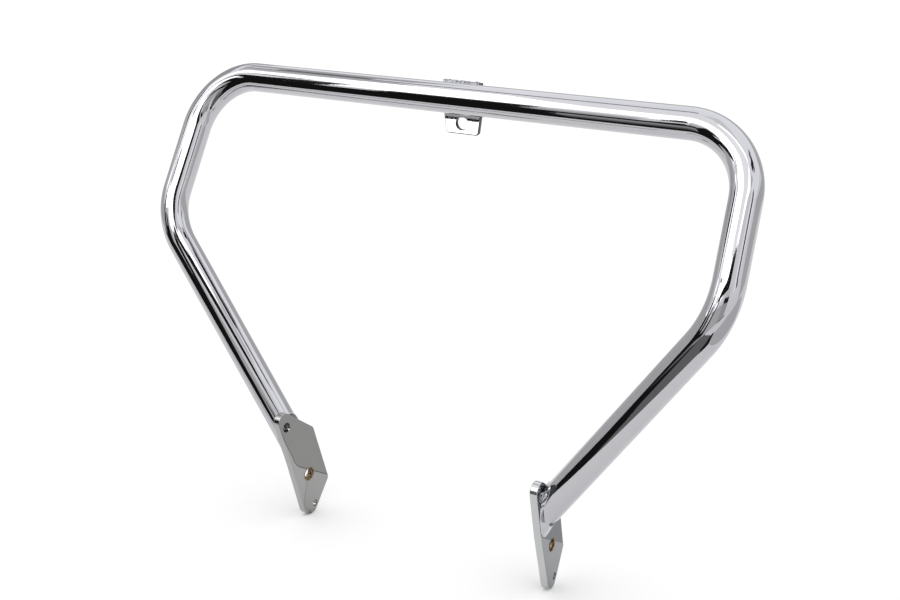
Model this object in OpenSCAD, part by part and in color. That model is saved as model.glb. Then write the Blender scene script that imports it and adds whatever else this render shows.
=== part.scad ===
// Motorcycle crash bars: one bent tube loop in front of the frame, closed at the top by a
// straight bar and at each lower end by a flat mounting plate, with a bolt tab behind the bar.
// Frame: origin at the centre of the tab's slotted bolt hole, +X to the rider's left, +Y to the rear, +Z up.

/* [Tube] */
// outside diameter of the bent tube
tube_od = 31.75; // [25.4:0.05:38.1]
// wall thickness of the bent tube
tube_wall = 3; // [2.4:0.1:4]

/* [Loop shape] */
// height of the top bar's axis above the centre of the tab's bolt hole
bar_rise = 28.9; // [26:0.1:40]
// half length of the top bar, to the corner where its axis would meet the side's axis
bar_half = 326; // [290:1:350]
// centreline radius of the two top corner bends
corner_bend_r = 69; // [55:1:85]
// how far the widest point of each side stands outside the top corner
side_out = 7; // [2:1:20]
// how far the widest point of each side lies in front of the top bar
side_forward = 80; // [55:1:100]
// how far the widest point of each side lies below the top bar
side_drop = 155; // [140:1:175]
// centreline radius of the two side bends
side_bend_r = 82; // [65:1:95]
// distance from the middle plane to the point where the tube's axis meets a plate
foot_half = 163.5; // [145:0.1:185]
// how far that point lies in front of the top bar
foot_forward = 82.1; // [65:0.1:100]
// how far that point lies below the top bar
foot_drop = 385.2; // [350:0.1:410]

/* [Mounting plates] */
// thickness of a mounting plate
plate_t = 8.4; // [7:0.1:11]
// width of a plate, square to its long edges
plate_w = 46.9; // [44:0.1:52]
// length of a plate from the upper corner of its front edge to the lower one, before rounding
plate_len = 173.7; // [170:0.1:190]
// slope of the cut across the plate's top, from square to its long edges
plate_top_cut = 53; // [48:0.1:56]
// slope of the cut across the plate's bottom, from square to its long edges
plate_tip_cut = 40; // [36:0.1:44]
// corner radius at the top of the front edge
plate_top_r = 10; // [7:0.1:12]
// corner radius at the two ends of the rear edge
plate_rear_r = 4; // [2:0.1:6]
// radius of the rounded tip
plate_tip_r = 11.7; // [10:0.1:13]
// slant of the plate's long edges, their lower end to the rear
plate_slant = 16.7; // [10:0.1:22]
// turn of the plate that brings its rear edge nearer to the middle plane
plate_toe = 4.1; // [0:0.1:8]
// lean of the plate's upper part, its lower end nearer to the middle plane
plate_lean = 1.7; // [0:0.1:4]
// angle of the shallow bend that makes the plate's lower part stand more upright
crease_angle = 2.7; // [1:0.1:5]
// distance down the front edge to the bend line
crease_from_top = 81.7; // [76:0.1:86]
// slope of the bend line, from square to the plate's long edges
crease_slope = 46.5; // [40:0.1:50]
// distance from the plate's front edge to the tube's axis
foot_inset = 18.8; // [17:0.1:22]
// distance from the upper end of the front edge to the tube's axis
foot_down = 59; // [56:0.1:62]

/* [Plate holes] */
// diameter of the frame bolt hole
frame_hole_d = 14; // [12:0.1:15]
// distance from the plate's front edge to the frame bolt hole
frame_hole_inset = 20.7; // [18:0.1:24]
// distance from the upper end of the front edge to the frame bolt hole
frame_hole_down = 110.3; // [109:0.1:116]
// diameter of the small hole near the tip
tip_hole_d = 8; // [6:0.1:9]
// distance from the plate's front edge to the small hole
tip_hole_inset = 17.5; // [14:0.1:18]
// distance from the upper end of the front edge to the small hole
tip_hole_down = 151.5; // [148:0.1:152]
// diameter of the vent hole beside the tube's end
vent_hole_d = 11; // [7:0.1:12]
// distance from the plate's front edge to the vent hole
vent_inset = 10; // [9:0.1:14]
// distance from the upper end of the front edge to the vent hole
vent_down = 37; // [35:0.1:44]

/* [Top tab] */
// width of the tab at its top
tab_w = 46; // [40:0.1:52]
// width of the tab at its bottom
tab_bottom_w = 39; // [35:0.1:43]
// distance below the top bar's axis where the tab's sides start to draw in
tab_taper_drop = 16; // [14:0.1:20]
// thickness of the tab
tab_t = 5; // [4:0.1:6.5]
// height of the tab's top edge above the top bar's axis
tab_above_bar = 15; // [10:0.1:18]
// distance from the bolt hole down to the tab's bottom edge
tab_below_hole = 11; // [10:0.1:16]
// corner radius at the tab's bottom
tab_corner_r = 4; // [2:0.1:6]
// radius of the shallow corners where the tab's sides start to draw in
tab_shoulder_r = 20; // [10:1:30]
// height of the tab's slotted bolt hole
tab_hole_d = 13.2; // [11:0.1:15]
// length of the slotted bolt hole, side to side
tab_hole_len = 15.4; // [15.2:0.1:20]
// clearance between the tab and the tube, closed by the two welds
tab_gap = 0.2; // [0.1:0.05:0.5]

/* [Welds] */
// how far the weld round a tube end reaches out along the plate
foot_weld_leg = 2.5; // [2:0.1:5]
// how far the weld round a tube end climbs the tube
foot_weld_climb = 3.5; // [2:0.1:6]
// how far the weld fills the narrow corner between the tube's upper side and the plate
foot_weld_fill = 8; // [6:0.1:10]
// height of the tab's upper weld bead above the top bar's axis
upper_weld_top = 16.5; // [14:0.1:18]
// height of the tab's lower weld bead, measured down from the top bar's axis
lower_weld_bottom = 13.5; // [11:0.1:15]
// how far each tab weld stops short of the tab's sides
tab_weld_inset = 1.5; // [0:0.1:4]

/* [Hidden] */
$fn = 48;
tube_r = tube_od / 2;
bore_r = tube_r - tube_wall;
tab_front_y = -tab_t / 2;
bar_y = tab_front_y - tab_gap - tube_r;
bar_c = [0, bar_y, bar_rise];
corner_p = bar_c + [bar_half, 0, 0];
side_p = bar_c + [bar_half + side_out, -side_forward, -side_drop];
foot_p = bar_c + [foot_half, -foot_forward, -foot_drop];
foot_dir = (foot_p - side_p) / norm(foot_p - side_p);
foot_run_on = 45;
end_p = foot_p + foot_dir * foot_run_on;
loop = concat(
  [for (p = [end_p, side_p, corner_p]) [-p[0], p[1], p[2]]],
  [corner_p, side_p, end_p]
);
loop_r = [0, side_bend_r, corner_bend_r, corner_bend_r, side_bend_r, 0];
top_fall = plate_w * tan(plate_top_cut);
tip_rise = plate_w * tan(plate_tip_cut);
plate_pts = [
  [0, 0],
  [0, -plate_len],
  [plate_w, tip_rise - plate_len],
  [plate_w, -top_fall]
];
plate_rad = [plate_top_r, plate_tip_r, plate_rear_r, plate_rear_r];
tab_top = bar_rise + tab_above_bar;
tab_pts = [
  [-tab_w / 2, tab_top],
  [-tab_w / 2, bar_rise - tab_taper_drop],
  [-tab_bottom_w / 2, -tab_below_hole],
  [tab_bottom_w / 2, -tab_below_hole],
  [tab_w / 2, bar_rise - tab_taper_drop],
  [tab_w / 2, tab_top]
];
tab_rad = [tab_gap, tab_shoulder_r, tab_corner_r, tab_corner_r, tab_shoulder_r, tab_gap];
big = 400;
end_cut = 80;
weld_edge = 0.6;
weld_seat = 0.02;
bend_swell = 0.15;
join_lap = 0.5;
hole_turn = 60;
weld_over_top = 5;
weld_len = tab_w - 2 * tab_weld_inset;

chrome = [0.80, 0.80, 0.82];
weld_grey = [0.62, 0.62, 0.65];

function unit(v) = v / norm(v);
function bend_angle(a, b, c) = acos(unit(b - a) * unit(c - b));
function reach(a, b, c, r) = r * tan(bend_angle(a, b, c) / 2);
function across(d) = abs(d[2]) < 0.9 ? unit(cross([0, 0, 1], d)) : unit(cross([1, 0, 0], d));

// Turns and moves a shape so that its own x, y and z axes lie along ex, ey and ez.
module set_axes(ex, ey, ez, p) {
  multmatrix([
    [ex[0], ey[0], ez[0], p[0]],
    [ex[1], ey[1], ez[1], p[1]],
    [ex[2], ey[2], ez[2], p[2]],
    [0, 0, 0, 1]
  ]) children();
}

// A round bar from point a to point b.
module straight_run(a, b, r) {
  d = unit(b - a);
  ex = across(d);
  set_axes(ex, cross(d, ex), d, a) cylinder(h = norm(b - a), r = r);
}

// The tube's cross-section, as a ring whose wall is thicker by swell on both faces.
module tube_section(swell) {
  difference() {
    circle(r = tube_r + swell);
    circle(r = bore_r - swell);
  }
}

// A straight length of tube from point a to point b.
module straight_tube(a, b) {
  d = unit(b - a);
  ex = across(d);
  set_axes(ex, cross(d, ex), d, a) linear_extrude(norm(b - a)) tube_section(0);
}

// A length of tube bent at corner b, on the way from a to c, on centreline radius br.
// Its wall is a hair thicker than the straight tube's, which runs a little way into it.
module bent_tube(a, b, c, br) {
  d = unit(b - a);
  n = unit(cross(d, c - b));
  start = b - d * reach(a, b, c, br);
  ex = cross(d, n);
  set_axes(ex, d, n, start - ex * br)
    rotate_extrude(angle = bend_angle(a, b, c)) translate([br, 0]) tube_section(bend_swell);
}

// The whole loop of tube, with its ends run on past the plates.
module tube_loop() {
  last = len(loop) - 1;
  cut = [for (i = [0:last]) i == 0 || i == last ? 0 :
    reach(loop[i - 1], loop[i], loop[i + 1], loop_r[i]) - join_lap];
  for (i = [0:last - 1]) {
    d = unit(loop[i + 1] - loop[i]);
    straight_tube(loop[i] + d * cut[i], loop[i + 1] - d * cut[i + 1]);
  }
  for (i = [1:last - 1]) bent_tube(loop[i - 1], loop[i], loop[i + 1], loop_r[i]);
}

// A flat outline with straight edges between the points and a true arc at each of them.
module rounded_outline(pts, rad) {
  last = len(pts) - 1;
  q = [for (i = [0:last]) [pts[(i + last) % (last + 1)], pts[i], pts[(i + 1) % (last + 1)]]];
  back = [for (i = [0:last]) reach(q[i][0], q[i][1], q[i][2], rad[i])];
  polygon([for (i = [0:last]) for (s = [0, 1])
    q[i][1] + (s == 0 ? unit(q[i][0] - q[i][1]) : unit(q[i][2] - q[i][1])) * back[i]]);
  for (i = [0:last]) {
    to_prev = unit(q[i][0] - q[i][1]);
    to_next = unit(q[i][2] - q[i][1]);
    mid = unit(to_prev + to_next);
    half = acos(to_prev * to_next) / 2;
    translate(q[i][1] + mid * rad[i] / sin(half)) circle(r = rad[i]);
  }
}

// Places what is drawn on the left plate's outer face: x across the plate from its front
// edge, -y down its length, z outward from the face.
module on_plate() {
  translate(foot_p) rotate([0, plate_lean, plate_toe]) rotate([90, 0, 90])
    rotate([0, 0, plate_slant]) translate([-foot_inset, foot_down, 0]) children();
}

// Turns the plate's lower part about the bend line in the middle of its thickness.
module below_crease() {
  translate([0, -crease_from_top, -plate_t / 2]) rotate([0, 0, -crease_slope])
    rotate([-crease_angle, 0, 0]) rotate([0, 0, crease_slope])
      translate([0, crease_from_top, plate_t / 2]) children();
}

// One side of the plane that halves the bend: side 1 is above the bend line, -1 below it.
module crease_side(side) {
  translate([0, -crease_from_top, -plate_t / 2]) rotate([0, 0, -crease_slope])
    rotate([-crease_angle / 2, 0, 0])
      translate([-big / 2, side > 0 ? 0 : -big, -big / 2]) cube(big);
}

module plate_blank() {
  translate([0, 0, -plate_t]) linear_extrude(plate_t) rounded_outline(plate_pts, plate_rad);
}

module plate_hole(inset, down, d) {
  translate([inset, -down, -2 * plate_t]) rotate([0, 0, -hole_turn])
    cylinder(h = 3 * plate_t, d = d);
}

// The frame bolt hole, square to the lower part. Its upper rim crosses the bend line.
module frame_hole() {
  below_crease() plate_hole(frame_hole_inset, frame_hole_down, frame_hole_d);
}

module mount_plate() {
  on_plate() union() {
    difference() {
      intersection() {
        plate_blank();
        crease_side(1);
      }
      frame_hole();
      plate_hole(vent_inset, vent_down, vent_hole_d);
    }
    difference() {
      intersection() {
        below_crease() plate_blank();
        crease_side(-1);
      }
      frame_hole();
      below_crease() plate_hole(tip_hole_inset, tip_hole_down, tip_hole_d);
    }
  }
}

// The weld collar round the tube's end, sloping from the plate up to the tube.
module foot_weld() {
  difference() {
    hull() {
      foot_slice(tube_r + foot_weld_leg, 0);
      foot_slice(tube_r + weld_edge, foot_weld_climb);
      intersection() {
        foot_slice(tube_r + weld_edge, foot_weld_fill);
        translate(foot_p + [0, -big / 2, tube_r]) cube(big);
      }
    }
    straight_run(side_p, end_p, tube_r);
  }
}

// A thin slice of a bar of radius r on the tube's axis, cut level with the plate, just clear of it.
module foot_slice(r, level) {
  intersection() {
    straight_run(foot_p - foot_dir * big / 4, foot_p + foot_dir * big / 4, r, $fn = 32);
    on_plate() translate([0, 0, level + weld_seat]) weld_field();
  }
}

// The part of the plate's outer face that the weld keeps to, above the bend line, as a thin layer.
module weld_field() {
  linear_extrude(weld_edge) polygon([
    [weld_edge, weld_over_top],
    [weld_edge, -crease_from_top],
    [plate_w, -crease_from_top - plate_w * tan(crease_slope)],
    [plate_w, weld_over_top - top_fall]
  ]);
}

module guard_tube() {
  color(chrome) difference() {
    tube_loop();
    for (s = [0, 1]) mirror([s, 0, 0])
      on_plate() translate([-big / 2, -big / 2, -end_cut]) cube([big, big, end_cut]);
  }
}

module mount_plate_left() {
  color(chrome) mount_plate();
}

module mount_plate_right() {
  color(chrome) mirror([1, 0, 0]) mount_plate();
}

module top_tab() {
  color(chrome) difference() {
    translate([0, tab_t / 2, 0]) rotate([90, 0, 0]) linear_extrude(tab_t)
      rounded_outline(tab_pts, tab_rad);
    for (s = [-1, 1]) translate([s * (tab_hole_len - tab_hole_d) / 2, 0, 0])
      rotate([90, 0, 0]) cylinder(h = 4 * tab_t, d = tab_hole_d, center = true);
    cube([tab_hole_len - tab_hole_d, 4 * tab_t, tab_hole_d], center = true);
  }
}

module foot_weld_left() {
  color(weld_grey) foot_weld();
}

module foot_weld_right() {
  color(weld_grey) mirror([1, 0, 0]) foot_weld();
}

// A bead in the groove between the tube and the tab: section points are y and z.
module tab_weld(section) {
  difference() {
    translate([-weld_len / 2, 0, 0]) rotate([90, 0, 90]) linear_extrude(weld_len) polygon(section);
    translate([0, bar_y, bar_rise]) rotate([0, 90, 0]) cylinder(h = big, r = tube_r, center = true);
  }
}

module tab_weld_upper() {
  color(weld_grey) tab_weld([
    [tab_front_y, bar_rise + tube_r / 4],
    [tab_front_y, bar_rise + tab_above_bar],
    [tab_front_y - 2 * tab_gap, bar_rise + upper_weld_top],
    [tab_front_y - tube_r / 5, bar_rise + upper_weld_top],
    [bar_y + tube_r * 0.7, bar_rise + tube_r * 0.76],
    [bar_y + tube_r * 0.7, bar_rise + tube_r / 4]
  ]);
}

module tab_weld_lower() {
  color(weld_grey) tab_weld([
    [tab_front_y, bar_rise - tube_r / 4],
    [tab_front_y, bar_rise - lower_weld_bottom],
    [bar_y + tube_r / 2, bar_rise - tube_r * 0.9],
    [bar_y + tube_r / 2, bar_rise - tube_r / 4]
  ]);
}

guard_tube();
mount_plate_left();
mount_plate_right();
top_tab();
foot_weld_left();
foot_weld_right();
tab_weld_upper();
tab_weld_lower();
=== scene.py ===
import math

import bmesh
import bpy
from mathutils import Matrix, Vector, noise
from mathutils.geometry import delaunay_2d_cdt


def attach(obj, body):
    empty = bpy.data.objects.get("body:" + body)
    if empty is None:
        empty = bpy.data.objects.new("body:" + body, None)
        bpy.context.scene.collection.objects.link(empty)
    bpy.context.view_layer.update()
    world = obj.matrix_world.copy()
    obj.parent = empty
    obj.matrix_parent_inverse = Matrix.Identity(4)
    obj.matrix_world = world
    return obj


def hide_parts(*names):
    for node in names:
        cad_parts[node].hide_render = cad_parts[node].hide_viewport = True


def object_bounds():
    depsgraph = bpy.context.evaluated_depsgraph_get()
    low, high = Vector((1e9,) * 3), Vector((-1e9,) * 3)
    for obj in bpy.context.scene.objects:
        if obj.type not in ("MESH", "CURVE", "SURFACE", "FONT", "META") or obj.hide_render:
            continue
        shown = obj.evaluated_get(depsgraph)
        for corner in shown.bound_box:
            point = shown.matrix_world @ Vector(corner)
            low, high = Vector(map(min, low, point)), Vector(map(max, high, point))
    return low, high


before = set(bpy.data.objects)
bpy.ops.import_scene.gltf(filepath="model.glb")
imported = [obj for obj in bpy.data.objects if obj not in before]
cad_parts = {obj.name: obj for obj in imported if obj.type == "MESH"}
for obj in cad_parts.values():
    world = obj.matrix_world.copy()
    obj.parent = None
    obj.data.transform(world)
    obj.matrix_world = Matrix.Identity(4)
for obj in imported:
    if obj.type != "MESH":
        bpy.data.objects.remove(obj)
cad_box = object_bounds()

# Sizes are in millimetres, as in the part's source, until a mesh is made of them.
MM = 0.001

# The tube's loop. The origin is the centre of the tab's bolt hole.
TUBE_R, TUBE_WALL = 15.875, 3.0
TAB_T, TAB_GAP = 5.0, 0.2
BAR_RISE, BAR_HALF = 28.9, 326
SIDE_OUT, SIDE_FORWARD, SIDE_DROP = 7, 80, 155
FOOT_HALF, FOOT_FORWARD, FOOT_DROP = 163.5, 82.1, 385.2
SIDE_BEND_R, CORNER_BEND_R = 82, 69
BAR = Vector((0, -TAB_T / 2 - TAB_GAP - TUBE_R, BAR_RISE))
CORNER = BAR + Vector((BAR_HALF, 0, 0))
SIDE = BAR + Vector((BAR_HALF + SIDE_OUT, -SIDE_FORWARD, -SIDE_DROP))
FOOT = BAR + Vector((FOOT_HALF, -FOOT_FORWARD, -FOOT_DROP))

# The mounting plates, with x from the front edge and y up from that edge's upper end. Holes are
# x, y and radius.
PLATE_T, PLATE_W, PLATE_LEN = 8.4, 46.9, 173.7
PLATE_TOP_R, PLATE_REAR_R, PLATE_TIP_R = 10, 4, 11.7
TOP_CUT, TIP_CUT = math.radians(53), math.radians(40)
PLATE_TOE, PLATE_LEAN, PLATE_SLANT = math.radians(4.1), math.radians(1.7), math.radians(16.7)
CREASE_AT, CREASE_SLOPE, CREASE_ANGLE = -81.7, math.radians(46.5), math.radians(2.7)
FOOT_AT = Vector((18.8, -59, 0))
FRAME_HOLE = (20.7, -110.3, 7.0)
TIP_HOLE = (17.5, -151.5, 4.0)
VENT_HOLE = (10.0, -37.0, 5.5)

# The tab.
TAB_HALF, TAB_BOTTOM_HALF = 23.0, 19.5
TAB_ABOVE_BAR, TAB_TAPER_DROP, TAB_BELOW_HOLE = 15, 16, 11
TAB_TOP_R, TAB_SHOULDER_R, TAB_CORNER_R = 1.0, 20, 4
TAB_HOLE_LEN, TAB_HOLE_D = 15.4, 13.2

# Looks only. The frame bolt hole is drawn narrower for its rust. The tab's face is shaded as if
# it leaned, like a face that was polished out of true.
BARE_BORE = 6.6
TAB_POLISH_LEAN = math.radians(19)
PLATE_EDGE, TAB_EDGE = 0.9, 1.3
PLATE_HOLE_EDGE, TAB_HOLE_EDGE = 0.5, 0.4

# What the rim attribute says of the outer edge and of the holes. It holds up to an angle round
# the eased edge, from the side towards the face.
OUTER_RIM, HOLE_RIM = 1.0, 2.0
PLATE_RIM_TO, TAB_RIM_TO = 0.9, 1.3

# How finely the meshes are divided. Points closer than SHORTEST are left out, and sides shorter
# than SHORT_SIDE aren't divided.
TUBE_AROUND, STRAIGHT_STEP, BEND_STEP = 96, 8, math.radians(1.5)
ARC_STEP, HOLE_STEPS, SLOT_STEPS, EDGE_STEPS = math.radians(5), 56, 28, 4
PLATE_STEP, TAB_STEP = 8.0, 6.0
SHORTEST, SHORT_SIDE = 0.05, 0.5


def mirrored(p):
    return Vector((-p.x, p.y, p.z))


def smooth01(t):
    t = min(1.0, max(0.0, t))
    return t * t * (3 - 2 * t)


def fade_in(value, start, width):
    return smooth01((value - start) / width)


def link(name, mesh):
    obj = bpy.data.objects.new(name, mesh)
    bpy.context.scene.collection.objects.link(obj)
    return obj


def link_smooth(name, bm):
    """Turns a closed bmesh into a smooth shaded object."""
    bmesh.ops.recalc_face_normals(bm, faces=bm.faces)
    for f in bm.faces:
        f.smooth = True
    mesh = bpy.data.meshes.new(name)
    bm.to_mesh(mesh)
    bm.free()
    return link(name, mesh)


def finish_piece(obj, node, mat):
    obj.data.materials.append(mat)
    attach(obj, "root")
    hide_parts(node)


# Materials. Tones are linear red, green and blue.
def rgba(tone):
    return tone if hasattr(tone, "is_output") else (*tone, 1)


class Nodes:
    """Adds nodes to a new material, with numbers, tones or sockets as inputs."""

    def __init__(self, name):
        self.mat = bpy.data.materials.new(name)
        self.mat.use_nodes = True
        self.n = self.mat.node_tree.nodes
        self.l = self.mat.node_tree.links

    def put(self, socket, value):
        if hasattr(value, "is_output"):
            self.l.new(value, socket)
        else:
            socket.default_value = value

    def math(self, op, *args, clamp=False):
        node = self.n.new("ShaderNodeMath")
        node.operation = op
        node.use_clamp = clamp
        for socket, value in zip(node.inputs, args):
            self.put(socket, value)
        return node.outputs[0]

    def add(self, a, b):
        return self.math("ADD", a, b)

    def sub(self, a, b):
        return self.math("SUBTRACT", a, b)

    def mul(self, a, b):
        return self.math("MULTIPLY", a, b)

    def clamped(self, value):
        return self.math("MULTIPLY", value, 1.0, clamp=True)

    def vec(self, op, *args):
        node = self.n.new("ShaderNodeVectorMath")
        node.operation = op
        slots = [node.inputs[0], node.inputs["Scale"] if op == "SCALE" else node.inputs[1]]
        for socket, value in zip(slots, args):
            self.put(socket, value)
        return node.outputs["Value" if op in ("LENGTH", "DOT_PRODUCT", "DISTANCE") else "Vector"]

    def attribute(self, name):
        node = self.n.new("ShaderNodeAttribute")
        node.attribute_name = name
        return node.outputs["Fac"]

    def noise(self, where, scale, detail=2.0, rough=0.5):
        tex = self.n.new("ShaderNodeTexNoise")
        tex.inputs["Scale"].default_value = scale
        tex.inputs["Detail"].default_value = detail
        tex.inputs["Roughness"].default_value = rough
        self.l.new(where, tex.inputs["Vector"])
        return tex.outputs["Fac"]

    def ramp(self, value, lo, hi, out_lo=0.0, out_hi=1.0):
        node = self.n.new("ShaderNodeMapRange")
        node.interpolation_type = "SMOOTHSTEP"
        for key, v in (("From Min", lo), ("From Max", hi), ("To Min", out_lo), ("To Max", out_hi)):
            node.inputs[key].default_value = v
        self.put(node.inputs["Value"], value)
        return node.outputs["Result"]

    def mix(self, fac, a, b, blend="MIX"):
        node = self.n.new("ShaderNodeMix")
        node.data_type = "RGBA"
        node.blend_type = blend
        self.put(node.inputs["Factor"], fac)
        self.put(node.inputs[6], rgba(a))
        self.put(node.inputs[7], rgba(b))
        return node.outputs[2]

    def bump(self, height, strength, distance, after=None):
        node = self.n.new("ShaderNodeBump")
        node.inputs["Strength"].default_value = strength
        node.inputs["Distance"].default_value = distance
        self.l.new(height, node.inputs["Height"])
        if after:
            self.l.new(after, node.inputs["Normal"])
        return node.outputs["Normal"]


# Noise scales, and the bumps' heights in metres.
CLOUD_SCALE, SMEAR_SCALE, PIT_SCALE = 22, 160, 900
CLOUD_TINT = (0.95, 0.95, 0.96)
WAVE_HEIGHT, PIT_HEIGHT = 0.001, 0.0001


class Chrome(Nodes):
    """Plated steel: mirror metal with faint cloudiness, slow waviness and fine pits. rough is the
    span of its roughness, wave the strength and noise scale of the waviness, and pits the pits'
    strength."""

    def __init__(self, name, base, rough, wave, pits=0.0):
        super().__init__(name)
        self.shader = self.n["Principled BSDF"]
        self.shader.inputs["Metallic"].default_value = 1.0
        self.where = self.n.new("ShaderNodeTexCoord").outputs["Object"]
        cloud = self.ramp(self.noise(self.where, CLOUD_SCALE, detail=5), 0.3, 0.7)
        self.tone = self.mix(cloud, [b * c for b, c in zip(base, CLOUD_TINT)], base)
        self.colour(self.tone)
        smear = self.noise(self.where, SMEAR_SCALE, detail=6)
        self.rough = self.ramp(smear, 0.35, 0.75, *rough)
        self.put(self.shader.inputs["Roughness"], self.rough)
        strength, scale = wave
        normal = self.bump(self.noise(self.where, scale), strength, WAVE_HEIGHT)
        if pits:
            normal = self.bump(self.noise(self.where, PIT_SCALE), pits, PIT_HEIGHT, normal)
        self.put(self.shader.inputs["Normal"], normal)

    def colour(self, socket):
        self.put(self.shader.inputs["Base Color"], socket)


# A plate's UV map holds its flat shape's millimetres / UV_MM, raised by UV_UP to stay positive.
UV_MM, UV_UP = 100, 2

# The upper field, painted darker as a painted reflection of a darker part of the room: its corner
# radius and its distance from the front edge. On the inner face more is added between the two
# heights, up to the last number at the lower one.
FIELD_CORNER_R, FIELD_MARGIN = 5.0, 0.5
FIELD_INSET_LOW, FIELD_INSET_HIGH, FIELD_INSET = -85, -38, 5.0
FIELD_BLUR, FACET_BLUR = 0.35, 0.4
# The bend line's painted shadow: its width, strength and tone.
CREASE_LINE_W, CREASE_LINE_STRENGTH, CREASE_SHADE_TONE = 0.9, 0.85, (0.12, 0.12, 0.13)

# The slanted edge of a lighter patch on the inner face, a painted reflection standing in for a
# facet, from the bolt hole to the front edge.
FACET_FROM, FACET_TO = (15.0, -116.0), (2.4, -138.5)

# Marks on the inner face: points of a line, width, strength and tint.
OLIVE, BROWN = (0.20, 0.19, 0.12), (0.06, 0.035, 0.03)
PLATE_MARKS = (
    ([(14.5, -117.7), (10.0, -126.1), (2.8, -138.1), (2.4, -146.3), (4.9, -152.2), (12.0, -157.6),
      (17.9, -158.6)], 1.1, 0.55, OLIVE),
    ([(5.4, -155.0), (9.4, -160.2)], 1.4, 0.8, BROWN),
)
MARK_GRAIN_SCALE = 420

# The bare rim of the frame bolt hole ends between two distances past the hole, and is ragged.
BARE_FROM, BARE_TO, BARE_RAGGED, BARE_ROUGH = 0.4, 1.5, 5.0, 0.45
RUST_LIGHT, RUST_DARK = (0.30, 0.20, 0.09), (0.10, 0.05, 0.02)
BORE_DARK, BORE_LIGHT = (0.035, 0.018, 0.010), (0.42, 0.33, 0.22)

# The tab's painted tones: a painted dark reflection on its outer edge, and painted shade in its hole.
TAB_EDGE_DARK_REFLECTION, TAB_HOLE_PAINTED_SHADE = (0.09, 0.09, 0.10), (0.05, 0.05, 0.055)


def line_distance(k, place, points):
    """Distance in millimetres from place to a line through the points."""
    best = None
    for (ax, ay), (bx, by) in zip(points, points[1:]):
        dx, dy = bx - ax, by - ay
        size = dx * dx + dy * dy
        rel = k.vec("SUBTRACT", place, (ax, ay, 0))
        t = k.clamped(k.vec("DOT_PRODUCT", rel, (dx / size, dy / size, 0)))
        d = k.vec("LENGTH", k.vec("SUBTRACT", rel, k.vec("SCALE", (dx, dy, 0), t)))
        best = d if best is None else k.math("MINIMUM", best, d)
    return best


def facet_side(k, x, y):
    """Distance in front of the facet's slanted edge, positive on the facet."""
    (ax, ay), (bx, by) = FACET_FROM, FACET_TO
    nx, ny = by - ay, ax - bx
    size = math.hypot(nx, ny)
    return k.add(k.mul(k.sub(x, ax), nx / size), k.mul(k.sub(y, ay), ny / size))


def field_depth(k, x, y, inner):
    """How far a place lies inside the plate's upper field, painted darker as a painted reflection,
    which ends at the bend line and near the front edge, with a rounded corner between."""
    above = k.add(k.mul(x, math.sin(CREASE_SLOPE)),
                  k.mul(k.add(y, -CREASE_AT), math.cos(CREASE_SLOPE)))
    inset = k.mul(k.ramp(y, FIELD_INSET_LOW, FIELD_INSET_HIGH, FIELD_INSET, 0.0), inner)
    side = k.sub(x, k.add(inset, FIELD_MARGIN))
    short_x = k.math("MAXIMUM", k.sub(FIELD_CORNER_R, side), 0.0)
    short_y = k.math("MAXIMUM", k.sub(FIELD_CORNER_R, above), 0.0)
    short = k.math("SQRT", k.add(k.mul(short_x, short_x), k.mul(short_y, short_y)))
    return k.sub(FIELD_CORNER_R, short)


def marked(k, colour, place, rim, inner):
    """The colour with the marks on the inner face, their outlines roughened by noise."""
    grain = k.noise(k.where, MARK_GRAIN_SCALE, detail=6, rough=0.7)
    for points, width, strength, tint in PLATE_MARKS:
        d = k.add(line_distance(k, place, points), k.mul(k.sub(grain, 0.5), width))
        amount = k.mul(k.ramp(d, width * 0.3, width, strength, 0.0), k.sub(1.0, rim))
        colour = k.mix(k.mul(amount, inner), colour, tint)
    return colour


def rusted(k, colour, place):
    """The colour with the frame bolt hole's bare rim and bore. It makes the rim rougher too."""
    x, y, r = FRAME_HOLE
    away = k.vec("DISTANCE", place, (x, y, 0))
    grain = k.noise(k.where, scale=300, detail=5, rough=0.7)
    ragged = k.add(away, k.mul(k.sub(grain, 0.5), BARE_RAGGED))
    bare = k.ramp(ragged, r + BARE_FROM, r + BARE_TO, 1.0, 0.0)
    rust = k.mix(k.ramp(k.noise(k.where, scale=900, detail=3), 0.4, 0.6), RUST_LIGHT, RUST_DARK)
    bore = k.ramp(away, BARE_BORE - 0.05, BARE_BORE + 0.25, 1.0, 0.0)
    grime = k.mix(k.ramp(k.noise(k.where, scale=500, detail=4), 0.45, 0.62), BORE_DARK, BORE_LIGHT)
    k.put(k.shader.inputs["Roughness"], k.math("MAXIMUM", k.rough, k.mul(bare, BARE_ROUGH)))
    return k.mix(bore, k.mix(bare, colour, rust), grime)


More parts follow.
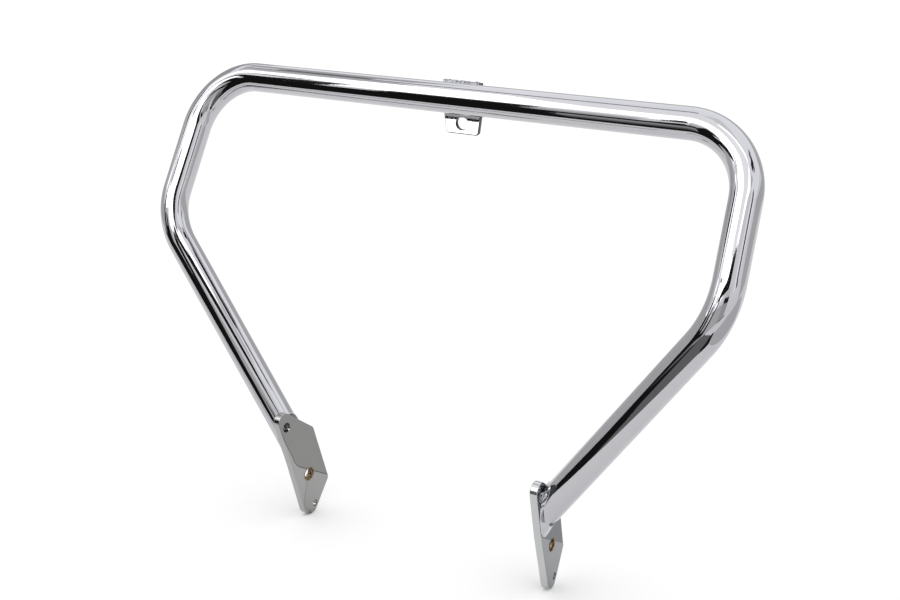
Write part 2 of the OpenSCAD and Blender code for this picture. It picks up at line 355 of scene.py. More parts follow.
def plate_chrome(name, rim_reflection_tone, low_reflection_tone, facet_reflection_tone, upper_dark_reflection_tone):
    """The plates' chrome, with painted reflections and a painted shadow. Above the bend line their
    faces are painted darker, a painted reflection of a darker part of the room; the bend line
    itself is a thin painted shadow; a lighter patch on the inner face is a painted reflection; and
    the edges have a painted reflection tone of their own."""
    k = Chrome(name, base=(0.50, 0.50, 0.51), rough=(0.07, 0.14), wave=(0.03, 60), pits=0.08)
    uv = k.n.new("ShaderNodeUVMap").outputs["UV"]
    place = k.vec("SCALE", k.vec("SUBTRACT", uv, (0, UV_UP, 0)), UV_MM)
    split = k.n.new("ShaderNodeSeparateXYZ")
    k.l.new(place, split.inputs[0])
    x, y = split.outputs[0], split.outputs[1]
    rim, inner = k.clamped(k.attribute("rim")), k.attribute("inner")
    facet = k.mul(k.ramp(facet_side(k, x, y), -FACET_BLUR, FACET_BLUR), inner)
    depth = field_depth(k, x, y, inner)
    crease = k.ramp(k.math("ABSOLUTE", depth), 0.0, CREASE_LINE_W, CREASE_LINE_STRENGTH, 0.0)
    # Painted reflection: a lighter patch on the inner face.
    face = k.mix(facet, low_reflection_tone, facet_reflection_tone)
    # Painted reflection: the upper field is darker.
    face = k.mix(k.ramp(depth, -FIELD_BLUR, FIELD_BLUR), face, upper_dark_reflection_tone)
    # Painted shadow along the bend line.
    face = k.mix(crease, face, CREASE_SHADE_TONE)
    # Painted reflection: the edges get a tone of their own.
    face = k.mix(rim, face, rim_reflection_tone)
    colour = k.mix(1.0, k.tone, face, "MULTIPLY")
    k.colour(rusted(k, marked(k, colour, place, rim, inner), place))
    return k.mat


def tab_chrome():
    """The tab's chrome, its outer edge painted dark as a painted reflection and its hole painted
    darker still as painted shade.
    """
    k = Chrome("tab_chrome", base=(0.62, 0.62, 0.63), rough=(0.05, 0.12), wave=(0.03, 80), pits=0.1)
    rim = k.attribute("rim")
    in_hole = k.math("SUBTRACT", rim, OUTER_RIM, clamp=True)
    k.colour(k.mix(in_hole, k.mix(k.clamped(rim), k.tone, TAB_EDGE_DARK_REFLECTION), TAB_HOLE_PAINTED_SHADE))
    return k.mat


TUBE_CHROME = Chrome(
    "tube_chrome", base=(0.50, 0.50, 0.52), rough=(0.03, 0.06), wave=(0.04, 45), pits=0.05).mat
# The two plates are one chrome. Their different tones, the left one darker on its faces and brighter on its
# edges, are painted reflections.
PLATE_CHROME = {
    1: plate_chrome(
        "plate_chrome_left_painted_reflections", rim_reflection_tone=(1.05, 1.07, 1.05), low_reflection_tone=(0.48, 0.50, 0.51),
        facet_reflection_tone=(0.62, 0.62, 0.61), upper_dark_reflection_tone=(0.22, 0.23, 0.26)),
    -1: plate_chrome(
        "plate_chrome_right_painted_reflections", rim_reflection_tone=(0.80, 0.80, 0.78), low_reflection_tone=(0.66, 0.66, 0.64),
        facet_reflection_tone=(0.70, 0.70, 0.68), upper_dark_reflection_tone=(0.49, 0.49, 0.47)),
}
TAB_CHROME = tab_chrome()
WELD_CHROME = Chrome(
    "weld_chrome", base=(0.54, 0.54, 0.56), rough=(0.04, 0.10), wave=(0.12, 350), pits=0.2).mat
# The tab welds get a darker base than the other welds: painted shade of the corner between the tube and the
# tab.
TAB_WELD_SHADED_CHROME = Chrome(
    "tab_weld_shaded_chrome", base=(0.30, 0.30, 0.33), rough=(0.05, 0.12), wave=(0.35, 500)).mat


# The tube.
def tube_path():
    """Centre points and directions along the whole loop, from the right foot to the left."""
    pts = [mirrored(p) for p in (FOOT, SIDE, CORNER)] + [CORNER, SIDE, FOOT]
    radii = (SIDE_BEND_R, CORNER_BEND_R, CORNER_BEND_R, SIDE_BEND_R)
    out = []
    at = pts[0]
    for a, b, c, r in zip(pts, pts[1:], pts[2:], radii):
        d1, d2 = (b - a).normalized(), (c - b).normalized()
        turn = d1.angle(d2)
        reach = r * math.tan(turn / 2)
        start = b - d1 * reach
        outward = d1.cross(d1.cross(d2).normalized())
        centre = start - outward * r
        steps = max(2, round((start - at).length / STRAIGHT_STEP))
        for i in range(steps):
            out.append((at.lerp(start, i / steps), d1))
        steps = max(8, round(turn / BEND_STEP))
        for i in range(steps):
            t = turn * i / steps
            out.append((
                centre + r * (math.cos(t) * outward + math.sin(t) * d1),
                (math.cos(t) * d1 - math.sin(t) * outward).normalized(),
            ))
        at = b + d2 * reach
    foot = pts[-1]
    direction = (foot - at).normalized()
    steps = round((foot - at).length / STRAIGHT_STEP)
    for i in range(steps + 1):
        out.append((at.lerp(foot, i / steps), direction))
    return out


def plate_matrix(side):
    """The plate's outer face: x from its front edge, -y down it, z outward; side 1 is the left."""
    quarter = math.radians(90)
    m = (
        Matrix.Translation(FOOT)
        @ Matrix.Rotation(PLATE_TOE, 4, "Z")
        @ Matrix.Rotation(PLATE_LEAN, 4, "Y")
        @ Matrix.Rotation(quarter, 4, "Z")
        @ Matrix.Rotation(quarter, 4, "X")
        @ Matrix.Rotation(PLATE_SLANT, 4, "Z")
        @ Matrix.Translation(-FOOT_AT)
    )
    if side < 0:
        m = Matrix.Scale(-1, 4, (1, 0, 0)) @ m
    return m


def slid_to_face(q, d, face):
    """The point q moved along d to a plate's outer face."""
    n = (face.to_3x3() @ Vector((0, 0, 1))).normalized()
    return q + d * ((face.translation - q).dot(n) / d.dot(n))


def make_tube():
    """The open tube, inside and outside, cut flush with the plates' outer faces."""
    path = tube_path()
    end_faces = {0: plate_matrix(-1), len(path) - 1: plate_matrix(1)}
    bm = bmesh.new()
    rings = []
    side = path[0][1].orthogonal().normalized()
    for i, (p, d) in enumerate(path):
        side = (side - d * side.dot(d)).normalized()
        up = d.cross(side)
        pair = []
        for r in (TUBE_R, TUBE_R - TUBE_WALL):
            ring = []
            for k in range(TUBE_AROUND):
                a = 2 * math.pi * k / TUBE_AROUND
                q = p + (math.cos(a) * side + math.sin(a) * up) * r
                if i in end_faces:
                    q = slid_to_face(q, d, end_faces[i])
                ring.append(bm.verts.new(q * MM))
            pair.append(ring)
        rings.append(pair)
    for (o1, i1), (o2, i2) in zip(rings, rings[1:]):
        for k in range(TUBE_AROUND):
            j = (k + 1) % TUBE_AROUND
            bm.faces.new((o1[k], o1[j], o2[j], o2[k]))
            bm.faces.new((i1[j], i1[k], i2[k], i2[j]))
    for (outer, inner), flip in ((rings[0], False), (rings[-1], True)):
        for k in range(TUBE_AROUND):
            j = (k + 1) % TUBE_AROUND
            face = (outer[k], inner[k], inner[j], outer[j])
            bm.faces.new(face[::-1] if flip else face)
    finish_piece(link_smooth("tube_loop", bm), "guard_tube", TUBE_CHROME)


# Flat pieces. An outline or a hole is a loop of points and normals that point out of the metal.
def rounded(corners):
    """A loop, anticlockwise, with an arc at each corner. corners are x, y and radius."""
    out = []
    for i, (x, y, r) in enumerate(corners):
        a, b = Vector(corners[i - 1][:2]), Vector((x, y))
        c = Vector(corners[(i + 1) % len(corners)][:2])
        d1, d2 = (b - a).normalized(), (c - b).normalized()
        turn = d1.angle(d2)
        start = b - d1 * r * math.tan(turn / 2)
        n1 = Vector((d1.y, -d1.x))
        centre = start - n1 * r
        steps = max(2, round(turn / ARC_STEP))
        for k in range(steps + 1):
            t = turn * k / steps
            n = Vector((n1.x * math.cos(t) - n1.y * math.sin(t),
                        n1.x * math.sin(t) + n1.y * math.cos(t)))
            out.append((centre + n * r, n))
    return out


def divided(loop, step, cuts=()):
    """The loop with its straight sides divided. Where they cross the lines in cuts, given as a
    point and a direction, a point is added."""
    out = []
    for (p, n), (q, m) in zip(loop, loop[1:] + loop[:1]):
        out.append((p, n))
        length = (q - p).length
        if n.dot(m) < 0.9999 or length < SHORT_SIDE:
            continue
        parts = round(length / step)
        stops = [k / parts for k in range(1, parts)]
        for c, u in cuts:
            v = Vector((-u.y, u.x))
            along = (q - p).dot(v)
            if abs(along) > 1e-9:
                t = (c - p).dot(v) / along
                if 0.001 < t < 0.999:
                    stops.append(t)
        for t in sorted(stops):
            spot = p.lerp(q, t)
            if (spot - out[-1][0]).length > SHORTEST and (spot - q).length > SHORTEST:
                out.append((spot, n))
    return out


def circle_loop(x, y, r):
    """A round hole, clockwise."""
    out = []
    for k in range(HOLE_STEPS):
        t = -2 * math.pi * k / HOLE_STEPS
        n = Vector((-math.cos(t), -math.sin(t)))
        out.append((Vector((x, y)) - n * r, n))
    return out


def slot_loop(length, height):
    """A slot with round ends at the origin, clockwise."""
    out = []
    half = (length - height) / 2
    for side in (1, -1):
        for k in range(SLOT_STEPS + 1):
            t = math.pi / 2 * side - math.pi * k / SLOT_STEPS
            n = Vector((-math.cos(t), -math.sin(t)))
            out.append((Vector((side * half, 0)) - n * height / 2, n))
    return out


def in_loop(p, loop):
    """Whether p lies inside the loop."""
    inside = False
    for (a, _), (b, _) in zip(loop, loop[1:] + loop[:1]):
        if (a.y > p.y) != (b.y > p.y) and p.x < (b.x - a.x) * (p.y - a.y) / (b.y - a.y) + a.x:
            inside = not inside
    return inside


class Slab:
    """A flat piece between z = low and high, with exact shading normals, a UV map of its flat
    shape and two attributes: rim is 1 on the outer edge, 2 in the holes and 0 on the faces, and
    inner is 1 on the low half. bend folds the flat points. lean tips the shading of the high face
    towards +y."""

    def __init__(self, low, high, matrix, bend=None, lean=0.0):
        self.low, self.high = low, high
        self.matrix, self.bend, self.lean = matrix, bend, lean
        self.verts, self.norms, self.uvs, self.rims, self.inners = [], [], [], [], []
        self.faces = []
        self.ends = {-1: [], 1: []}

    def add(self, p, n, rim, up):
        """Adds a vertex at a flat point and returns its number."""
        place, normal = (p, n) if self.bend is None else self.bend(p, n)
        if n.z > 0:
            normal = normal + Vector((0, math.tan(self.lean) * n.z, 0))
        self.verts.append(self.matrix @ place * MM)
        self.norms.append((self.matrix.to_3x3() @ normal).normalized())
        self.uvs.append((p.x / UV_MM, p.y / UV_MM + UV_UP))
        self.rims.append(rim)
        self.inners.append(1.0 if up < 0 else 0.0)
        return len(self.verts) - 1

    def wall(self, loop, rim, ease, rim_to):
        """The side along a loop, its edges rounded by ease. rim holds up to the angle rim_to round
        the edge."""
        rings = []
        for up in (-1, 1):
            for k in range(EDGE_STEPS + 1):
                a = math.pi / 2 * (k / EDGE_STEPS if up > 0 else 1 - k / EDGE_STEPS)
                inset, drop = ease * (1 - math.cos(a)), ease * (1 - math.sin(a))
                z = self.high - drop if up > 0 else self.low + drop
                ring = []
                for p, n in loop:
                    q = p - n * inset
                    normal = Vector((n.x * math.cos(a), n.y * math.cos(a), up * math.sin(a)))
                    ring.append(self.add(Vector((q.x, q.y, z)), normal, 0.0 if a > rim_to else rim, up))
                rings.append(ring)
        for r1, r2 in zip(rings, rings[1:]):
            for k in range(len(loop)):
                j = (k + 1) % len(loop)
                self.faces.append((r1[k], r1[j], r2[j], r2[k]))
        eased = [(p - n * ease, n) for p, n in loop]
        self.ends[-1].append((rings[0], eased))
        self.ends[1].append((rings[-1], eased))

    def face(self, up, lines=(), line_gap=0.0):
        """The face inside the walls, triangulated along the lines, whose points are joined unless
        they are further apart than line_gap, as on two sides of a hole."""
        coords, edges, ids = [], [], []
        for ring, pts in self.ends[up]:
            base = len(coords)
            coords += [p for p, _ in pts]
            ids += ring
            edges += [(base + k, base + (k + 1) % len(pts)) for k in range(len(pts))]
        outline, *holes = [pts for _, pts in self.ends[up]]

        def in_metal(p):
            return in_loop(p, outline) and not any(in_loop(p, hole) for hole in holes)

        for line in lines:
            run = [p for p in line if in_metal(p)]
            for p, q in zip(run, run[1:]):
                if (q - p).length < line_gap:
                    coords += [p, q]
                    edges.append((len(coords) - 2, len(coords) - 1))
        flat, _, tris, sources = delaunay_2d_cdt(coords, edges, [], 0, 1e-4)[:4]
        index = []
        for v, source in zip(flat, sources):
            known = [s for s in source if s < len(ids)]
            if known:
                index.append(ids[known[0]])
            else:
                z = self.high if up > 0 else self.low
                index.append(self.add(Vector((v.x, v.y, z)), Vector((0, 0, up)), 0.0, up))
        for tri in tris:
            if not in_metal(sum((flat[t] for t in tri), Vector((0, 0))) / len(tri)):
                continue
            a, b, c = (flat[t] for t in tri)
            face = tuple(index[t] for t in tri)
            self.faces.append(face if ((b - a).cross(c - a) > 0) == (up > 0) else face[::-1])

    def build(self, name, flip=False):
        mesh = bpy.data.meshes.new(name)
        mesh.from_pydata(self.verts, [], [f[::-1] for f in self.faces] if flip else self.faces)
        mesh.update()
        for key, values in (("rim", self.rims), ("inner", self.inners)):
            mesh.attributes.new(key, "FLOAT", "POINT").data.foreach_set("value", values)
        uv = mesh.uv_layers.new(name="plate_mm")
        for loop in mesh.loops:
            uv.data[loop.index].uv = self.uvs[loop.vertex_index]
        mesh.polygons.foreach_set("use_smooth", [True] * len(mesh.polygons))
        mesh.normals_split_custom_set([self.norms[loop.vertex_index] for loop in mesh.loops])
        return link(name, mesh)


# The plates' bend line: its point on the front edge, its directions along and across, and the
# half width of the strip that bends. Then the spacing and number of the mesh's points along it,
# and the distance between two of them that only a hole explains.
CREASE_C = Vector((0, CREASE_AT, -PLATE_T / 2))
CREASE_U = Vector((math.cos(CREASE_SLOPE), -math.sin(CREASE_SLOPE), 0))
CREASE_V = Vector((math.sin(CREASE_SLOPE), math.cos(CREASE_SLOPE), 0))
CREASE_W = 0.8
CREASE_STEP, CREASE_POINTS, CREASE_GAP = 2.0, 33, 4.1


def crease_bend(p, n):
    """Folds a flat point and normal about the bend line, over a narrow strip."""
    rel = p - CREASE_C
    u, s, z = rel.dot(CREASE_U), rel.dot(CREASE_V), rel.z
    if s >= CREASE_W:
        return p, n
    if s <= -CREASE_W:
        a = CREASE_ANGLE
        run, rise = s * math.cos(a), -s * math.sin(a)
    else:
        a = CREASE_ANGLE * (CREASE_W - s) / (2 * CREASE_W)
        run, rise = s, CREASE_ANGLE * (CREASE_W - s) ** 2 / (4 * CREASE_W)
    out = CREASE_C + CREASE_U * u + CREASE_V * (run + z * math.sin(a))
    out += Vector((0, 0, rise + z * math.cos(a)))
    nu, nv, nz = n.dot(CREASE_U), n.dot(CREASE_V), n.z
    normal = CREASE_U * nu + CREASE_V * (nv * math.cos(a) + nz * math.sin(a))
    return out, normal + Vector((0, 0, nz * math.cos(a) - nv * math.sin(a)))


def make_plates():
    corners = [
        (0, 0, PLATE_TOP_R), (0, -PLATE_LEN, PLATE_TIP_R),
        (PLATE_W, PLATE_W * math.tan(TIP_CUT) - PLATE_LEN, PLATE_REAR_R),
        (PLATE_W, -PLATE_W * math.tan(TOP_CUT), PLATE_REAR_R),
    ]
    along, across = CREASE_U.to_2d(), CREASE_V.to_2d()
    cuts = [(Vector((0, CREASE_AT)) + across * w, along) for w in (-CREASE_W, 0, CREASE_W)]
    lines = [[c + u * k * CREASE_STEP for k in range(1, CREASE_POINTS + 1)] for c, u in cuts]
    outline = divided(rounded(corners), PLATE_STEP, cuts)
    holes = [circle_loop(*h) for h in ((*FRAME_HOLE[:2], BARE_BORE), TIP_HOLE, VENT_HOLE)]
    for side, name in ((1, "left"), (-1, "right")):
        plate = Slab(-PLATE_T, 0, plate_matrix(side), crease_bend)
        plate.wall(outline, OUTER_RIM, PLATE_EDGE, PLATE_RIM_TO)
        for hole in holes:
            plate.wall(hole, HOLE_RIM, PLATE_HOLE_EDGE, PLATE_RIM_TO)
        for up in (-1, 1):
            plate.face(up, lines, CREASE_GAP)
        obj = plate.build("plate_" + name, flip=side < 0)
        finish_piece(obj, "mount_plate_" + name, PLATE_CHROME[side])


def make_tab():
    top, shoulder = BAR_RISE + TAB_ABOVE_BAR, BAR_RISE - TAB_TAPER_DROP
    corners = [
        (-TAB_HALF, top, TAB_TOP_R), (-TAB_HALF, shoulder, TAB_SHOULDER_R),
        (-TAB_BOTTOM_HALF, -TAB_BELOW_HOLE, TAB_CORNER_R),
        (TAB_BOTTOM_HALF, -TAB_BELOW_HOLE, TAB_CORNER_R),
        (TAB_HALF, shoulder, TAB_SHOULDER_R), (TAB_HALF, top, TAB_TOP_R),
    ]
    stand = Matrix.Rotation(math.radians(90), 4, "X")
    tab = Slab(-TAB_T / 2, TAB_T / 2, stand, lean=TAB_POLISH_LEAN)
    tab.wall(divided(rounded(corners), TAB_STEP), OUTER_RIM, TAB_EDGE, TAB_RIM_TO)
    tab.wall(slot_loop(TAB_HOLE_LEN, TAB_HOLE_D), HOLE_RIM, TAB_HOLE_EDGE, TAB_RIM_TO)
    for up in (-1, 1):
        tab.face(up)
    finish_piece(tab.build("bolt_tab"), "top_tab", TAB_CHROME)


# Weld beads.
def bead(name, node, stations, closed, mat):
    """A weld bead through closed profiles; its ends are capped unless the bead is a ring."""
    bm = bmesh.new()
    rings = [[bm.verts.new(p * MM) for p in ring] for ring in stations]
    for a, b in zip(rings, rings[1:] + (rings[:1] if closed else [])):
        for k in range(len(a)):
            j = (k + 1) % len(a)
            bm.faces.new((a[k], a[j], b[j], b[k]))
    if not closed:
        bm.faces.new(rings[0])
        bm.faces.new(rings[-1][::-1])
    finish_piece(link_smooth(name, bm), node, mat)


def lump(p, coarse, fine, shift):
    """Two layers of noise at p; coarse and fine are a scale and an amount."""
    return noise.noise(p * coarse[0]) * coarse[1] + noise.noise(p * fine[0] + shift) * fine[1]


# The foot welds' collar: stations round the tube, steps in its profile, its clearance on the
# plate and the tube, how far it reaches into the tube, and its distance from the front edge.
COLLAR_STATIONS, COLLAR_STEPS = 260, 11
WELD_SEAT, WELD_DEPTH, COLLAR_INSET = 0.02, 0.2, 0.7

# Its height up the tube and its reach over the plate, with what is added in the filled corner
# above the tube and on the tall lower side. Where these two set in, as sines and cosines.
CLIMB, CLIMB_FILL, CLIMB_BELOW = 1.0, 6.8, 6.0
REACH, REACH_MORE = 0.9, 1.6
FILL_FROM, FILL_OVER = 0.05, 0.6
BELOW_FROM, BELOW_OVER = 0.1, 0.5

# The swell of its face, which leans outward, and its lumps, which grow in the filled corner and
# fade below.
SWELL, SWELL_LEAN = 0.2, 0.8
LUMPS, LUMPS_FILL, LUMPS_CUT_BELOW = 0.25, 1.0, 0.85
LUMP_COARSE, LUMP_FINE, LUMP_SHIFT = (0.38, 1.3), (0.9, 0.7), Vector((7, 3, 1))


def make_foot_welds():
    axis = (plate_matrix(1).inverted().to_3x3() @ (SIDE - FOOT)).normalized()
    e1 = Vector((1, 0, 0)) - axis * axis.x
    e1.normalize()
    e2 = axis.cross(e1)
    if e2.y < 0:
        e2 = -e2

    def at(theta, level, r):
        """A point at the distance r from the tube's axis, at a height above the plate's face."""
        q = FOOT_AT + (e1 * math.cos(theta) + e2 * math.sin(theta)) * r
        return q + axis * ((level - q.z) / axis.z)

    stations = []
    for i in range(COLLAR_STATIONS):
        theta = 2 * math.pi * i / COLLAR_STATIONS
        sin, cos = math.sin(theta), math.cos(theta)
        fill = fade_in(sin, FILL_FROM, FILL_OVER) * fade_in(-cos, FILL_FROM, FILL_OVER)
        below = fade_in(-sin, BELOW_FROM, BELOW_OVER)
        climb = CLIMB + CLIMB_FILL * fill + CLIMB_BELOW * below
        reach = REACH + REACH_MORE * max(fill, below)
        toe = at(theta, WELD_SEAT, TUBE_R + reach)
        toe.x = max(toe.x, COLLAR_INSET)
        top = at(theta, climb, TUBE_R + WELD_SEAT)
        outward = (e1 * cos + e2 * sin + Vector((0, 0, SWELL_LEAN))).normalized()
        ring = [toe]
        for k in range(1, COLLAR_STEPS):
            s = k / COLLAR_STEPS
            bulge = 4 * s * (1 - s)
            p = toe.lerp(top, s)
            lumps = lump(p, LUMP_COARSE, LUMP_FINE, LUMP_SHIFT) * (LUMPS + LUMPS_FILL * fill)
            height = SWELL * (1 - below) + lumps * (1 - LUMPS_CUT_BELOW * below)
            ring.append(p + outward * bulge * height)
        ring += [top, at(theta, climb, TUBE_R - WELD_DEPTH), at(theta, WELD_SEAT, TUBE_R - WELD_DEPTH)]
        for p in ring:
            p.z = max(p.z, WELD_SEAT)
        stations.append(ring)
    for side, name in ((1, "left"), (-1, "right")):
        m = plate_matrix(side)
        placed = [[m @ p for p in ring] for ring in stations]
        bead("foot_bead_" + name, "foot_weld_" + name, placed, True, WELD_CHROME)


# The tab welds: length, stations, the stations over which an end falls away and how far, and
# the highest point above the bar's axis. Lumps push points away from the tube and the bar's axis.
TAB_BEAD_LEN, TAB_BEAD_STATIONS, TAB_BEAD_FADE, TAB_BEAD_FALL = 43.0, 150, 5, 0.2
TAB_BEAD_TOP = 16.45
TAB_BEAD_OUT, TAB_BEAD_UP = -0.55, 0.83
TAB_LUMP_COARSE, TAB_LUMP_FINE, TAB_LUMP_SHIFT = 0.42, 1.1, Vector((5, 2, 9))
FIXED_POINTS = 4


def by_tube(y, z):
    """A section point given in tube radii from the bar's axis."""
    return BAR.y + TUBE_R * y, BAR.z + TUBE_R * z


def by_tab(y, z):
    """A section point given from the tab's front face and the height of the bar's axis."""
    return -TAB_T / 2 + y, BAR.z + z


def make_tab_welds():
    """Beads whose sections are moved by lumps, but for the first point and the last four, where a
    section meets the tube and the tab."""
    for name, node, amount, section in (
        ("tab_bead_upper", "tab_weld_upper", 1.7, [
            by_tube(0.68, 0.72), by_tube(0.72, 0.78), by_tube(0.80, 0.90),
            by_tab(-2.6, 15.6), by_tab(-1.6, 15.9), by_tab(-0.4, 16.0), by_tab(0.9, 15.8),
            by_tab(1.0, 14.9), by_tab(-0.1, 14.8),
            by_tab(-0.1, 0.3 * TUBE_R), by_tube(0.93, 0.3),
        ]),
        ("tab_bead_lower", "tab_weld_lower", 0.6, [
            by_tube(0.52, -0.83), by_tube(0.56, -0.88), by_tube(0.66, -0.88), by_tube(0.78, -0.86),
            by_tab(-0.9, -13.4), by_tab(-0.05, -13.4),
            by_tab(-0.05, -0.3 * TUBE_R), by_tube(0.93, -0.3),
        ]),
    ):
        stations = []
        for i in range(TAB_BEAD_STATIONS + 1):
            x = TAB_BEAD_LEN * (i / TAB_BEAD_STATIONS - 0.5)
            fade = smooth01(min(i, TAB_BEAD_STATIONS - i) / TAB_BEAD_FADE)
            ring = []
            for k, (y, z) in enumerate(section):
                p = Vector((x, y, z))
                if 0 < k < len(section) - FIXED_POINTS:
                    lumps = lump(p, (TAB_LUMP_COARSE, amount), (TAB_LUMP_FINE, amount * 0.5), TAB_LUMP_SHIFT)
                    out = Vector((0, TAB_BEAD_OUT, TAB_BEAD_UP if z > BAR.z else -TAB_BEAD_UP))
                    p += out * (lumps - TAB_BEAD_FALL * (1 - fade))
                    p.z = min(p.z, BAR.z + TAB_BEAD_TOP)
                ring.append(p)
            stations.append(ring)
        bead(name, node, stations, False, TAB_WELD_SHADED_CHROME)


make_tube()
make_plates()
make_tab()
make_foot_welds()
make_tab_welds()


# The stage. From here on sizes are in metres.
FLOOR_GAP, FLOOR_SIZE = 0.0005, 40
FLOOR_Z = cad_box[0].z - FLOOR_GAP
FLOOR_TONE, FLOOR_ROUGHNESS = (0.97, 0.97, 0.97), 0.9
WORLD_STRENGTH = 1.10
WHITE, LAVENDER = (1, 1, 1), (0.97, 0.97, 1.0)
CARD_CENTRE = Vector((0, 0, -0.15))
BLACK = 0.012


def make_floor():
    k = Nodes("floor")
    shader = k.n["Principled BSDF"]
    shader.inputs["Base Color"].default_value = rgba(FLOOR_TONE)
    shader.inputs["Roughness"].default_value = FLOOR_ROUGHNESS
    shader.inputs["Specular IOR Level"].default_value = 0.0
    bpy.ops.mesh.primitive_plane_add(size=FLOOR_SIZE, location=(0, 0, FLOOR_Z))
    floor = bpy.context.object
    floor.name = "floor"
    floor.data.materials.append(k.mat)


def make_world():
    world = bpy.data.worlds.new("studio")
    bpy.context.scene.world = world
    world.use_nodes = True
    background = world.node_tree.nodes["Background"]
    background.inputs["Color"].default_value = rgba(WHITE)
    background.inputs["Strength"].default_value = WORLD_STRENGTH


def emitter(name, color, strength):
    k = Nodes(name)
    k.n.remove(k.n["Principled BSDF"])
    emission = k.n.new("ShaderNodeEmission")
    emission.inputs["Color"].default_value = rgba(color)
    emission.inputs["Strength"].default_value = strength
    k.l.new(emission.outputs["Emission"], k.n["Material Output"].inputs["Surface"])
    return k.mat


def panel(name, points, strength, color=WHITE):
    """A stage card through the points. Only mirrors see it."""
    mesh = bpy.data.meshes.new(name)
    mesh.from_pydata(points, [], [tuple(range(len(points)))])
    obj = link(name, mesh)
    obj.data.materials.append(emitter(name, color, strength))
    obj.visible_camera = False
    obj.visible_diffuse = False
    obj.visible_shadow = False


def card(name, corners, distance, strength, color=WHITE):
    """A card whose corners lie in directions from the object: azimuth from the front, elevation."""
    points = []
    for azimuth, elevation in corners:
        a, e = math.radians(azimuth), math.radians(elevation)
        ray = Vector((math.sin(a) * math.cos(e), -math.cos(a) * math.cos(e), math.sin(e)))
        points.append(ray * distance + CARD_CENTRE)
    panel(name, points, strength, color)


def panels(place, rows):
    """Panels on one plane. place turns the rows' flat points into places."""
    for name, points, strength in rows:
        panel(name, [place(*p) for p in points], strength)


def rectangle(x0, x1, y0, y1):
    return [(x0, y0), (x1, y0), (x1, y1), (x0, y1)]


def make_cards():
    for name, azimuths in (("sky_left", (-180, -60)), ("sky_right", (60, 180))):
        a, b = azimuths
        card(name, [(a, 12), (a, 75), (b, 75), (b, 12)], distance=7, strength=1.4, color=LAVENDER)
    softbox = [(-64, 12), (-64, 60), (60, 62), (50, 40), (20, 28), (0, 20), (-20, 14)]
    card("softbox", softbox, distance=5, strength=3.0)


# What a mirror sees of the room, on a box round the object: a dark room beyond the slanted
# front edge of a white table, gaps between the lamps overhead, a grey backdrop behind. No two
# panels of one plane overlap. ROOM is the distance of the walls, and LOW just clears the floor.
ROOM, TOP, LOW = 2.5, 2.0, FLOOR_Z + 0.002
UNDER_TOP = TOP - 0.01


def make_ground():
    """Points are x, y."""
    panels(lambda x, y: (x, y, LOW), (
        ("table_edge", [(-ROOM, -1.04), (-1.0, -0.68), (-0.4, -0.53), (0.05, -0.46), (0.02, -0.62),
                        (-0.12, -0.80), (-0.2, -1.2), (-0.3, -1.8), (-0.5, -ROOM), (-ROOM, -ROOM)], BLACK),
        ("table_line", [(-2.0, -0.80), (-1.0, -0.56), (0.0, -0.33), (0.0, -0.26), (-1.0, -0.49),
                        (-2.0, -0.73)], 0.6),
        ("ground_grey", [(0.05, -0.46), (0.42, -0.37), (0.42, -0.50), (0.50, -0.58), (0.64, -0.84),
                         (0.58, -1.05), (0.45, -1.35), (0.25, -1.7), (0.0, -ROOM), (-0.5, -ROOM),
                         (-0.3, -1.8), (-0.2, -1.2), (-0.12, -0.80), (0.02, -0.62)], 0.2),
        ("ground_line", [(0.42, -0.37), (0.56, -0.40), (0.75, -0.74), (0.74, -0.84), (0.64, -0.84),
                         (0.50, -0.58), (0.42, -0.50)], BLACK),
        ("ground_dim", [(0.57, -0.40), (0.77, -0.74), (0.95, -0.70), (1.5, -0.6), (2.3, 0.4),
                        (1.4, 0.75), (0.64, 0.4), (0.60, 0.0)], 0.72),
        ("ground_right", [(1.3, -ROOM), (1.5, -1.9), (ROOM, -1.9), (ROOM, -ROOM)], BLACK),
    ))


